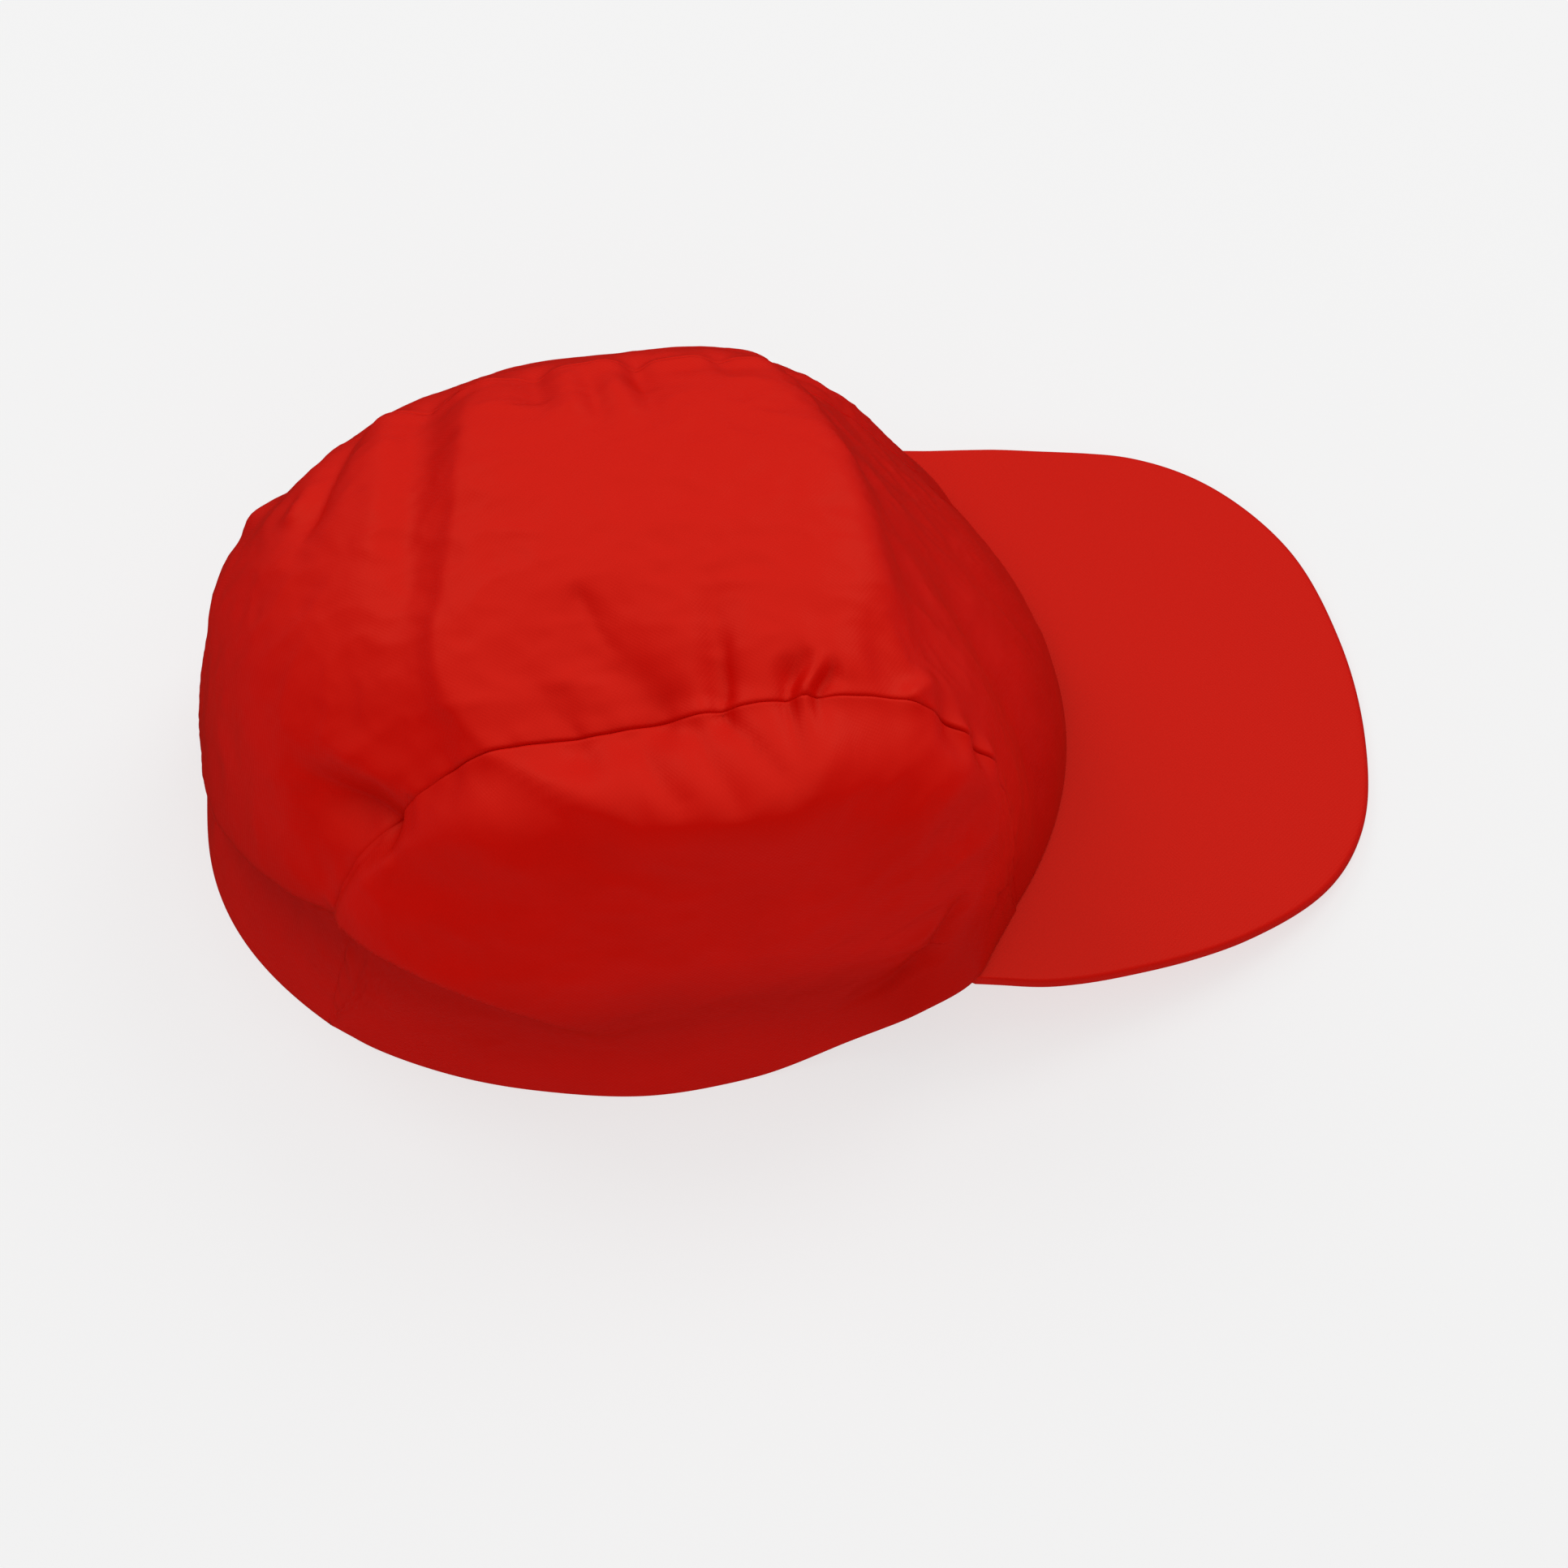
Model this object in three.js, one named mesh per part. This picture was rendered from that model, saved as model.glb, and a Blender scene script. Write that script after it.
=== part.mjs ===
// A plain cotton cap with a three-panel crown and a flat peak, lying on a table as it would by itself.
// Millimetres. +X runs forward to the peak, +Y to the wearer's left, +Z up, and the table is Z = 0.
// The tables are measured from the middle of the rim, and the group is moved from there to its origin.
import * as THREE from "three";
import { mergeVertices } from "three/addons/utils/BufferGeometryUtils.js";

const CLOTH = 1.2; // wall of the crown
const HEM_CLOTH = 2.2; // the hem, where the cloth is turned in
const HEM_TURN = 14; // height of the turned-in cloth
const SEAM_GAP = 0.3; // clear space between two sewn edges
const RIM_TO_ORIGIN = { x: -34.4, y: 0.5 }; // from the rim's middle to the middle of the whole cap's box

const PEAK_BOARD = 3; // peak with its cloth on both faces
const PEAK_TOP_AT_TIP = 2.8; // height of its upper face there, so that the lower one just touches
const PEAK_TIP_X = 167.6; // its front edge, which rests on the table
const PEAK_SLOPE = 0.215; // rise for each millimetre back from that edge
const PEAK_ROUND = 1; // rounding of its edges
const PEAK_UNDERLAP = 4; // how far it runs in under the crown

const TEMPLE = { from: 15, to: 60, power: 1.9 }; // hem lifting off the table towards the peak

// Seam on the wearer's right, a row for each station from the back hem over the top to the front hem
const RIGHT_SEAM = [
  { x: -73.5, y: -56.5, z: 0 },
  { x: -68.5, y: -54, z: 40 },
  { x: -61, y: -52, z: 60 },
  { x: -43, y: -50, z: 81.5 },
  { x: -33, y: -50, z: 89 },
  { x: -13, y: -50, z: 92 },
  { x: 7.5, y: -50, z: 97.3 },
  { x: 34, y: -50, z: 100.6 },
  { x: 58, y: -50, z: 94.5 },
  { x: 71, y: -52, z: 79 },
  { x: 77, y: -53.5, z: 58 },
  { x: 79, y: -54.6, z: 22.3 },
];

// Seam on the wearer's left, which lies lower at the front and higher at the back
const LEFT_SEAM = [
  { x: -73.5, y: 56.5, z: 0 },
  { x: -80, y: 52, z: 34 },
  { x: -80, y: 49, z: 51 },
  { x: -71.5, y: 46.5, z: 62.5 },
  { x: -58.6, y: 45.5, z: 78.5 },
  { x: -41.8, y: 45.5, z: 89 },
  { x: -23.7, y: 45.5, z: 95.5 },
  { x: 0, y: 45.5, z: 98.5 },
  { x: 27, y: 46, z: 96 },
  { x: 40, y: 46, z: 86 },
  { x: 52, y: 47, z: 72 },
  { x: 67, y: 51, z: 48 },
  { x: 80, y: 56, z: 22 },
];

// Middle line of the centre panel; fullness is how square the panel is across at that station
const MIDDLE = [
  { x: -99, z: 0, fullness: 2.3 },
  { x: -97, z: 20, fullness: 2.3 },
  { x: -94.5, z: 42, fullness: 2.3 },
  { x: -89, z: 62, fullness: 2.3 },
  { x: -77, z: 81, fullness: 2.3 },
  { x: -58, z: 95, fullness: 2.3 },
  { x: -40, z: 102, fullness: 2.3 },
  { x: -12, z: 105, fullness: 2.3 },
  { x: 18, z: 106, fullness: 2.3 },
  { x: 44, z: 103.5, fullness: 2.2 },
  { x: 60, z: 96, fullness: 2.1 },
  { x: 76, z: 80, fullness: 2 },
  { x: 87, z: 60, fullness: 2 },
  { x: 94, z: 40, fullness: 2 },
  { x: 97, z: 18.5, fullness: 2 },
];

// Hem under each side panel, a row for each section: half widths to the right and to the left
const HEM = [
  { x: -73.5, right: 56.5, left: 56.5 },
  { x: -63, right: 64.5, left: 63.5 },
  { x: -46, right: 73, left: 72 },
  { x: -28, right: 78.5, left: 78 },
  { x: -4, right: 82, left: 81.5 },
  { x: 20, right: 79.5, left: 80.5 },
  { x: 40, right: 77.5, left: 79 },
  { x: 56, right: 79.5, left: 77.5 },
  { x: 67, right: 75, left: 74 },
  { x: 74, right: 64, left: 67 },
  { x: 79.5, right: 54.6, left: 56 },
];

// Section of a side panel, hem to seam: how far it stands out past the straight line between them
const SIDE_SECTION = [
  { up: 0, right: 0, left: 0 },
  { up: 0.2, right: 6, left: 4 },
  { up: 0.4, right: 13, left: 9 },
  { up: 0.6, right: 17.5, left: 12 },
  { up: 0.78, right: 18.5, left: 11 },
  { up: 0.9, right: 13, left: 6.5 },
  { up: 1, right: 0, left: 0 },
];

// Peak outline in plan, from the right corner round the front to the left corner
const PEAK_EDGE = [
  { x: 67, y: -73 },
  { x: 85, y: -73.3 },
  { x: 104, y: -69 },
  { x: 131, y: -59 },
  { x: 152, y: -44.5 },
  { x: 163, y: -27 },
  { x: 167.6, y: -3 },
  { x: 166.5, y: 25 },
  { x: 158.5, y: 52 },
  { x: 142.5, y: 70 },
  { x: 124, y: 77.8 },
  { x: 98, y: 77.6 },
  { x: 67, y: 74.5 },
];

// Folds and dents: a path over a panel, its half width, and how far it sinks in (below zero, stands up).
// On the centre panel a station is [along, across], and on a side panel it is [along, up].
const FOLDS = [
  { on: "centre", path: [[0.08, -0.2], [0.09, -0.55], [0.14, -0.98]], width: 6, depth: 3.5 },
  { on: "right", path: [[0.02, 0.43], [0.26, 0.39], [0.31, 0.26], [0.49, 0.11]], width: 6, depth: 4 },
  { on: "centre", path: [[0.27, -0.76], [0.26, -0.92]], width: 6, depth: 4 },
  { on: "centre", path: [[0.48, -0.44], [0.5, -0.68], [0.52, -0.9]], width: 5, depth: 3 },
  { on: "centre", path: [[0.57, -0.58], [0.56, -0.9]], width: 4, depth: 2.5 },
  { on: "centre", path: [[0.6, -0.88], [0.63, -0.86]], width: 4, depth: 2 },
  { on: "centre", path: [[0.68, -0.58], [0.68, -0.9]], width: 7, depth: 2.5 },
  { on: "centre", path: [[0.4, 0.88], [0.4, 0.3], [0.39, -0.12], [0.38, -0.5]], width: 6, depth: 2.2 },
  { on: "centre", path: [[0.49, 0.9], [0.48, 0.6]], width: 5, depth: 2.5 },
  { on: "centre", path: [[0.58, 0.9], [0.58, 0.66]], width: 4, depth: 2.5 },
  { on: "centre", path: [[0.32, 0.79], [0.29, 0.25]], width: 5, depth: 3 },
  { on: "centre", path: [[0.2, 0.76], [0.21, 0.9]], width: 8, depth: -1.2 },
  { on: "right", path: [[0.08, 0.67], [0.29, 0.76]], width: 8, depth: 2 },
  { on: "right", path: [[0.87, 0.33], [0.84, 0.27], [0.79, 0.17], [0.69, 0.15]], width: 5, depth: 2.5 },
  { on: "left", path: [[0.08, 0.36], [0.24, 0.38], [0.4, 0.24]], width: 6, depth: 3 },
  { on: "left", path: [[0.86, 0.36], [0.78, 0.2], [0.66, 0.16]], width: 5, depth: 2.5 },
  { on: "left", path: [[0.3, 0.84], [0.36, 0.6]], width: 7, depth: 2 },
];
const SEAM_HOLD = 7; // the seams are stiff: a fold fades out over this distance from them
const SIDE_SWELL = 0.7; // below 1, a side panel swells soon after its two ends

// Where the right and left seams turn the shoulders of the side panels, as shares of their length
const SHOULDERS = { back: 0.33, front: 0.71 };

// Steps of the faceted walls
const SIDE_STEPS_ALONG = 28;
const SIDE_STEPS_UP = 15;
const CENTRE_STEPS_ACROSS = 18;
const PEAK_STEPS = 40;
const PEAK_ROUND_STEPS = 2;
const JOIN_STATIONS = [0.75, 0.5, 0.25, 0, -0.25, -0.5, -0.75]; // across the centre panel's front hem

const peakTop = (x) => PEAK_TOP_AT_TIP + PEAK_SLOPE * (PEAK_TIP_X - x);

// Height of the hem: flat on the table behind, rising at the temples, then along the top of the peak
function hemHeight(x) {
  if (x <= TEMPLE.from) return 0;
  if (x >= TEMPLE.to) return peakTop(x) + SEAM_GAP;
  const share = (x - TEMPLE.from) / (TEMPLE.to - TEMPLE.from);
  return (peakTop(TEMPLE.to) + SEAM_GAP) * share ** TEMPLE.power;
}

function curveThrough(points) {
  return new THREE.CatmullRomCurve3(points, false, "centripetal");
}

const seams = {
  right: curveThrough(RIGHT_SEAM.map((row) => new THREE.Vector3(row.x, row.y, row.z))),
  left: curveThrough(LEFT_SEAM.map((row) => new THREE.Vector3(row.x, row.y, row.z))),
};
const middle = curveThrough(MIDDLE.map((row) => new THREE.Vector3(row.x, 0, row.z)));
const fullnessLine = curveThrough(MIDDLE.map((row) => new THREE.Vector3(row.x, row.fullness, row.z)));

function hemCurve(side) {
  const out = side === "right" ? -1 : 1;
  return curveThrough(HEM.map((row) => new THREE.Vector3(row.x, out * row[side], hemHeight(row.x))));
}
const hems = { right: hemCurve("right"), left: hemCurve("left") };

const sections = {
  right: new THREE.SplineCurve(SIDE_SECTION.map((row) => new THREE.Vector2(row.up, row.right))),
  left: new THREE.SplineCurve(SIDE_SECTION.map((row) => new THREE.Vector2(row.up, row.left))),
};

// Value of a section curve at a share of the height, found by halving
function standOut(side, up) {
  let low = 0;
  let high = 1;
  while (high - low > 1e-6) {
    const half = (low + high) / 2;
    if (sections[side].getPoint(half).x < up) low = half;
    else high = half;
  }
  return sections[side].getPoint(low).y;
}

// Centre panel: along is the share from the back hem to the front hem, across runs from -1 to 1
function centrePoint(along, across) {
  const right = seams.right.getPointAt(along);
  const left = seams.left.getPointAt(along);
  const top = middle.getPointAt(along);
  const fullness = fullnessLine.getPointAt(along).y;
  const flat = right.clone().lerp(left, (across + 1) / 2);
  const crown = top.sub(right.clone().add(left).multiplyScalar(0.5));
  return flat.addScaledVector(crown, 1 - Math.abs(across) ** fullness);
}

// Side panel: along runs forward on the hem, up runs from the hem to the seam
function sidePoint(side, along, up) {
  const seam = seams[side];
  const hem = hems[side];
  const { back, front } = SHOULDERS;
  const top = seam.getPointAt(back + (front - back) * along);
  const rear = seam.getPointAt(back * up);
  const fore = seam.getPointAt(1 - (1 - front) * up);
  const foot = hem.getPointAt(along);
  const corners = [
    [seam.getPointAt(0), (1 - along) * (1 - up)],
    [seam.getPointAt(1), along * (1 - up)],
    [seam.getPointAt(back), (1 - along) * up],
    [seam.getPointAt(front), along * up],
  ];
  const point = foot.multiplyScalar(1 - up).addScaledVector(top, up);
  point.addScaledVector(rear, 1 - along).addScaledVector(fore, along);
  for (const [corner, share] of corners) point.addScaledVector(corner, -share);
  const out = side === "right" ? -1 : 1;
  point.y += out * standOut(side, up) * Math.sin(Math.PI * along) ** SIDE_SWELL;
  return point;
}

// A grid of points, grid[i][j]
function gridOf(columns, rows, pointAt) {
  return Array.from({ length: columns + 1 }, (_, i) =>
    Array.from({ length: rows + 1 }, (_, j) => pointAt(i, j)));
}

// Sum of the facet normals round each point of a grid
function normalsOf(grid, flip) {
  const sums = grid.map((column) => column.map(() => new THREE.Vector3()));
  for (let i = 0; i < grid.length - 1; i++) {
    for (let j = 0; j < grid[0].length - 1; j++) {
      const a = grid[i + 1][j + 1].clone().sub(grid[i][j]);
      const b = grid[i][j + 1].clone().sub(grid[i + 1][j]);
      const facet = a.cross(b).multiplyScalar(flip);
      for (const [di, dj] of [[0, 0], [1, 0], [0, 1], [1, 1]]) sums[i + di][j + dj].add(facet);
    }
  }
  return sums;
}

const UP = SIDE_STEPS_UP;
const ALONG = SIDE_STEPS_ALONG;
const STATIONS = 2 * UP + ALONG;

// Share of the seam's length at a station, and the station's place in a side panel's grid
function seamShare(station) {
  const { back, front } = SHOULDERS;
  if (station <= UP) return (back * station) / UP;
  if (station <= UP + ALONG) return back + ((front - back) * (station - UP)) / ALONG;
  return 1 - ((1 - front) * (STATIONS - station)) / UP;
}
function sidePlace(station) {
  if (station <= UP) return [0, station];
  if (station <= UP + ALONG) return [station - UP, UP];
  return [ALONG, STATIONS - station];
}

const ACROSS = CENTRE_STEPS_ACROSS;
const centre = gridOf(STATIONS, ACROSS, (i, j) => centrePoint(seamShare(i), (2 * j) / ACROSS - 1));
const sideGrids = {
  right: gridOf(ALONG, UP, (i, j) => sidePoint("right", i / ALONG, j / UP)),
  left: gridOf(ALONG, UP, (i, j) => sidePoint("left", i / ALONG, j / UP)),
};

// Sinks the folds of one panel into its grid, holding its edges where they are sewn
function foldGrid(grid, name, flip, pointAt) {
  const paths = FOLDS.filter((fold) => fold.on === name).map((fold) => ({
    ...fold,
    points: fold.path.map(([a, b]) => pointAt(a, b)),
  }));
  const normals = normalsOf(grid, flip);
  const last = [grid.length - 1, grid[0].length - 1];
  const edge = [];
  grid.forEach((column, i) => column.forEach((point, j) => {
    if (i === 0 || j === 0 || i === last[0] || j === last[1]) edge.push(point.clone());
  }));
  grid.forEach((column, i) => column.forEach((point, j) => {
    let sink = 0;
    for (const { points, width, depth } of paths) {
      let nearest = Infinity;
      for (let k = 0; k < points.length - 1; k++) {
        const leg = new THREE.Line3(points[k], points[k + 1]);
        const closest = leg.closestPointToPoint(point, true, new THREE.Vector3());
        nearest = Math.min(nearest, closest.distanceTo(point));
      }
      sink += depth * Math.exp(-((nearest / width) ** 2));
    }
    const toEdge = Math.min(...edge.map((other) => other.distanceTo(point)));
    const free = Math.min(1, toEdge / SEAM_HOLD);
    point.addScaledVector(normals[i][j].normalize(), -sink * free);
  }));
}
foldGrid(centre, "centre", 1, (along, across) => centrePoint(along, across));
foldGrid(sideGrids.right, "right", 1, (along, up) => sidePoint("right", along, up));
foldGrid(sideGrids.left, "left", -1, (along, up) => sidePoint("left", along, up));

const centreNormals = normalsOf(centre, 1);
const sideNormals = { right: normalsOf(sideGrids.right, 1), left: normalsOf(sideGrids.left, -1) };

// The two panels that meet in a seam share one normal at each of its stations
for (const side of ["right", "left"]) {
  const edge = side === "right" ? 0 : ACROSS;
  for (let station = 0; station <= STATIONS; station++) {
    const [i, j] = sidePlace(station);
    const shared = centreNormals[station][edge].add(sideNormals[side][i][j]);
    sideNormals[side][i][j] = shared.clone();
  }
}

// Unit normals, level at the hem so that the hem's lower edge stays flat
function settleNormals(normals, isHem) {
  normals.forEach((column, i) => column.forEach((normal, j) => {
    if (isHem(i, j)) normal.z = 0;
    normal.normalize();
  }));
}
const isCentreHem = (i) => i === 0 || i === STATIONS;
const isSideHem = (i, j) => j === 0;
settleNormals(centreNormals, isCentreHem);
for (const side of ["right", "left"]) settleNormals(sideNormals[side], isSideHem);

// Draws an edge of a panel back from its seam by half the gap, square to the seam and to its normal
function drawBack(grid, normals, edgePlaces, inward) {
  const moved = edgePlaces.map(([i, j], n) => {
    const before = edgePlaces[Math.max(n - 1, 0)];
    const after = edgePlaces[Math.min(n + 1, edgePlaces.length - 1)];
    const tangent = grid[after[0]][after[1]].clone().sub(grid[before[0]][before[1]]).normalize();
    const [ii, jj] = inward(i, j);
    const pull = grid[ii][jj].clone().sub(grid[i][j]);
    const square = normals[i][j].clone().cross(tangent).normalize();
    return grid[i][j].clone().addScaledVector(square, (Math.sign(pull.dot(square)) * SEAM_GAP) / 2);
  });
  edgePlaces.forEach(([i, j], n) => grid[i][j].copy(moved[n]));
}
const allStations = Array.from({ length: STATIONS + 1 }, (_, station) => station);
drawBack(centre, centreNormals, allStations.map((s) => [s, 0]), (i, j) => [i, j + 1]);
drawBack(centre, centreNormals, allStations.map((s) => [s, ACROSS]), (i, j) => [i, j - 1]);
for (const side of ["right", "left"]) {
  drawBack(sideGrids[side], sideNormals[side], allStations.map(sidePlace), (i, j) => [
    i === 0 ? 1 : i === ALONG ? ALONG - 1 : i,
    j === UP ? UP - 1 : Math.max(j, 1),
  ]);
}

// A closed wall from a grid of outer points, thickened inwards; both skins end on the hem's own line
function wallOf(grid, normals, isHem, flip) {
  const columns = grid.length;
  const rows = grid[0].length;
  const inner = grid.map((column, i) => column.map((point, j) => {
    const height = Math.max(point.z - hemHeight(point.x), 0);
    const turned = Math.max(0, 1 - height / HEM_TURN);
    const wall = CLOTH + (HEM_CLOTH - CLOTH) * Math.min(1, 2 * turned);
    return point.clone().addScaledVector(normals[i][j], -wall);
  }));
  for (const skin of [grid, inner]) {
    skin.forEach((column, i) => column.forEach((point, j) => {
      if (isHem(i, j)) point.z = hemHeight(point.x);
    }));
  }
  const positions = [];
  for (const skin of [grid, inner]) {
    for (const column of skin) for (const point of column) positions.push(point.x, point.y, point.z);
  }
  const outerAt = (i, j) => i * rows + j;
  const innerAt = (i, j) => columns * rows + i * rows + j;
  const faces = [];
  const quad = (a, b, c, d) => {
    if (flip > 0) faces.push(a, b, c, a, c, d);
    else faces.push(a, c, b, a, d, c);
  };
  for (let i = 0; i < columns - 1; i++) {
    for (let j = 0; j < rows - 1; j++) {
      quad(outerAt(i, j), outerAt(i + 1, j), outerAt(i + 1, j + 1), outerAt(i, j + 1));
      quad(innerAt(i, j), innerAt(i, j + 1), innerAt(i + 1, j + 1), innerAt(i + 1, j));
    }
  }
  const edgeWall = (i, j, nextI, nextJ) => {
    quad(outerAt(i, j), outerAt(nextI, nextJ), innerAt(nextI, nextJ), innerAt(i, j));
  };
  for (let i = 0; i < columns - 1; i++) {
    edgeWall(i + 1, 0, i, 0);
    edgeWall(i, rows - 1, i + 1, rows - 1);
  }
  for (let j = 0; j < rows - 1; j++) {
    edgeWall(0, j, 0, j + 1);
    edgeWall(columns - 1, j + 1, columns - 1, j);
  }
  const geometry = new THREE.BufferGeometry();
  geometry.setAttribute("position", new THREE.Float32BufferAttribute(positions, 3));
  geometry.setIndex(faces);
  return mergeVertices(geometry, 1e-3);
}

// The peak is cut flat, from its front edge back to a line just inside the crown, and then tilted
function peakGeometry() {
  const tilt = Math.atan(PEAK_SLOPE);
  const onBoard = (point) => new THREE.Vector2((point.x - PEAK_TIP_X) / Math.cos(tilt), point.y);
  const edge = curveThrough(PEAK_EDGE.map((row) => new THREE.Vector3(row.x, row.y, 0)));
  const joinPoints = [];
  const corner = HEM.findIndex((row) => row.x >= PEAK_EDGE[0].x);
  for (const row of HEM.slice(corner)) joinPoints.push({ x: row.x, y: row.left });
  for (const across of JOIN_STATIONS) joinPoints.push(centrePoint(1, across));
  for (const row of HEM.slice(corner).reverse()) joinPoints.push({ x: row.x, y: -row.right });
  const inset = joinPoints.map((point) => {
    const reach = Math.hypot(point.x, point.y);
    const share = (reach - PEAK_UNDERLAP) / reach;
    return new THREE.Vector3(point.x * share, point.y * share, 0);
  });
  const join = curveThrough(inset);
  const outline = [...edge.getSpacedPoints(PEAK_STEPS), ...join.getSpacedPoints(PEAK_STEPS / 2)];
  const shape = new THREE.Shape(outline.map(onBoard));
  const board = new THREE.ExtrudeGeometry(shape, {
    depth: PEAK_BOARD - 2 * PEAK_ROUND,
    bevelEnabled: true,
    bevelThickness: PEAK_ROUND,
    bevelSize: PEAK_ROUND,
    bevelOffset: -PEAK_ROUND,
    bevelSegments: PEAK_ROUND_STEPS,
  });
  board.translate(0, 0, PEAK_ROUND - PEAK_BOARD);
  return { board, tilt };
}

const CROWN_RED = 0xb8180f;
const PEAK_RED = 0xc9211a;

const cap = new THREE.Group();
cap.name = "cap";
function addPiece(name, geometry, color) {
  geometry.computeVertexNormals();
  const cotton = new THREE.MeshStandardMaterial({ color, roughness: 0.85, metalness: 0 });
  const mesh = new THREE.Mesh(geometry, cotton);
  mesh.name = name;
  cap.add(mesh);
  return mesh;
}

const centreWall = wallOf(centre, centreNormals, isCentreHem, 1);
const rightWall = wallOf(sideGrids.right, sideNormals.right, isSideHem, 1);
const leftWall = wallOf(sideGrids.left, sideNormals.left, isSideHem, -1);
addPiece("crown_centre_panel", centreWall, CROWN_RED);
addPiece("crown_side_panel_right", rightWall, CROWN_RED);
addPiece("crown_side_panel_left", leftWall, CROWN_RED);
const { board, tilt } = peakGeometry();
const peak = addPiece("peak", board, PEAK_RED);
peak.rotation.y = tilt;
peak.position.set(PEAK_TIP_X, 0, PEAK_TOP_AT_TIP);
cap.position.set(RIM_TO_ORIGIN.x, RIM_TO_ORIGIN.y, 0);

export default cap;
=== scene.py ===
# A plain red cotton cap that lies on a pale table: a soft crown of three sewn panels, and a flat peak.
# Its sizes are in millimetres, in a frame with its origin in the middle of the rim: +X runs forward to the
# peak, +Y to the wearer's left and Z up from the table. The meshes are in metres, in the model's own frame.
import math

import bpy
import numpy as np
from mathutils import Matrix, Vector, noise


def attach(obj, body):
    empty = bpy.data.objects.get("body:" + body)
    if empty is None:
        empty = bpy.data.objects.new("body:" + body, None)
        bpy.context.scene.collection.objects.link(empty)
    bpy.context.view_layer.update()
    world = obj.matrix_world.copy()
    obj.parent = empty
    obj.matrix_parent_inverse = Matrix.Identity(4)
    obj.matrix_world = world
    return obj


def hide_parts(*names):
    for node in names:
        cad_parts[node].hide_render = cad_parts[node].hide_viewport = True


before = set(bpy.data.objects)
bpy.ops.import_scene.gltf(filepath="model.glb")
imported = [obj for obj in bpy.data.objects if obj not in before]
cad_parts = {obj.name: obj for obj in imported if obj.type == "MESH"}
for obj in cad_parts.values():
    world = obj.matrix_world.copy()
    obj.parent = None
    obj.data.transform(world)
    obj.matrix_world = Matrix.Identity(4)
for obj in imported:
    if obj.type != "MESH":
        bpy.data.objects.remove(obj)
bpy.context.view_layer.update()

# Crown
# Three panels of one plain-woven cotton: a strip from the back hem over the top to the front hem, and a
# D-shaped panel at each side. They are sewn right sides together, so that the edges roll in at the seams
# and the allowances lie inside. The lower edge is turned in once all round and stitched as a hem.
MM = 0.001
SIDES = {"right": -1, "left": 1}

# The hem lies on the table at the back, rises at the temples and then follows the top of the peak, whose
# height comes from its slope and its front edge. HEM_GAP is the play between them.
PEAK_TIP_X = 167.6
PEAK_TOP_AT_TIP = 2.8
PEAK_SLOPE = 0.215
HEM_GAP = 0.3
TEMPLE_FROM = 15.0
TEMPLE_TO = 60.0
TEMPLE_POWER = 1.9

# Hem line: x, half width to the right, half width to the left
HEM = [
    (-73.5, 56.5, 56.5),
    (-63, 64.5, 63.5),
    (-46, 73, 72),
    (-28, 78.5, 78),
    (-4, 82, 81.5),
    (20, 79.5, 80.5),
    (40, 77.5, 79),
    (56, 79.5, 77.5),
    (67, 75, 74),
    (74, 64, 67),
    (79.5, 54.6, 56),
]

# Seam on the wearer's right, from the back hem over the top to the front hem: x, y, z
RIGHT_SEAM = [
    (-73.5, -56.5, 0),
    (-65.8, -54.6, 40),
    (-61, -52, 60),
    (-43, -50, 81.5),
    (-33, -50, 89),
    (-13, -50, 92),
    (7.5, -50, 97.3),
    (34, -50, 100.6),
    (58, -50, 94.5),
    (71, -52, 79),
    (77, -53.5, 58),
    (79, -54.6, 22.3),
]

# Seam on the wearer's left: x, y, z
LEFT_SEAM = [
    (-73.5, 56.5, 0),
    (-80, 52, 34),
    (-79, 48.7, 50.5),
    (-71, 46.2, 62.2),
    (-58.6, 45.5, 79.6),
    (-41.8, 45.5, 90.2),
    (-23.7, 45.5, 96.4),
    (0, 45.5, 98.7),
    (23, 46, 97.4),
    (34, 46, 94.8),
    (41, 46.2, 86.8),
    (52, 47, 72.4),
    (67, 51, 48),
    (80, 56, 22),
]

# Middle line of the strip: x, z, and how square the strip is across there, from 2 for a round arch upwards
MIDDLE = [
    (-99, 0, 2.3),
    (-97, 20, 2.3),
    (-94.5, 42, 2.3),
    (-89, 62, 2.3),
    (-77, 79.5, 2.3),
    (-58, 92.5, 2.3),
    (-40, 99.8, 2.3),
    (-24, 104.2, 2.3),
    (-12, 105.2, 2.3),
    (18, 106, 2.3),
    (42, 104.8, 2.2),
    (50, 101.8, 2.15),
    (57.5, 91.0, 2.1),
    (66.5, 76.5, 2),
    (77.5, 60.5, 2),
    (87.5, 44.5, 2),
    (94.3, 31, 2),
    (97, 18.5, 2),
]


def ramp(value, start, end):
    """Rises from nothing at start to one at end."""
    return np.clip((value - start) / (end - start), 0, 1)


def peak_top(x):
    """Height of the peak's upper face."""
    return PEAK_TOP_AT_TIP + PEAK_SLOPE * (PEAK_TIP_X - x)


def hem_height(x):
    """Height of the hem over the table."""
    rise = (peak_top(TEMPLE_TO) + HEM_GAP) * ramp(x, TEMPLE_FROM, TEMPLE_TO) ** TEMPLE_POWER
    return np.where(x >= TEMPLE_TO, peak_top(x) + HEM_GAP, rise)


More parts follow.
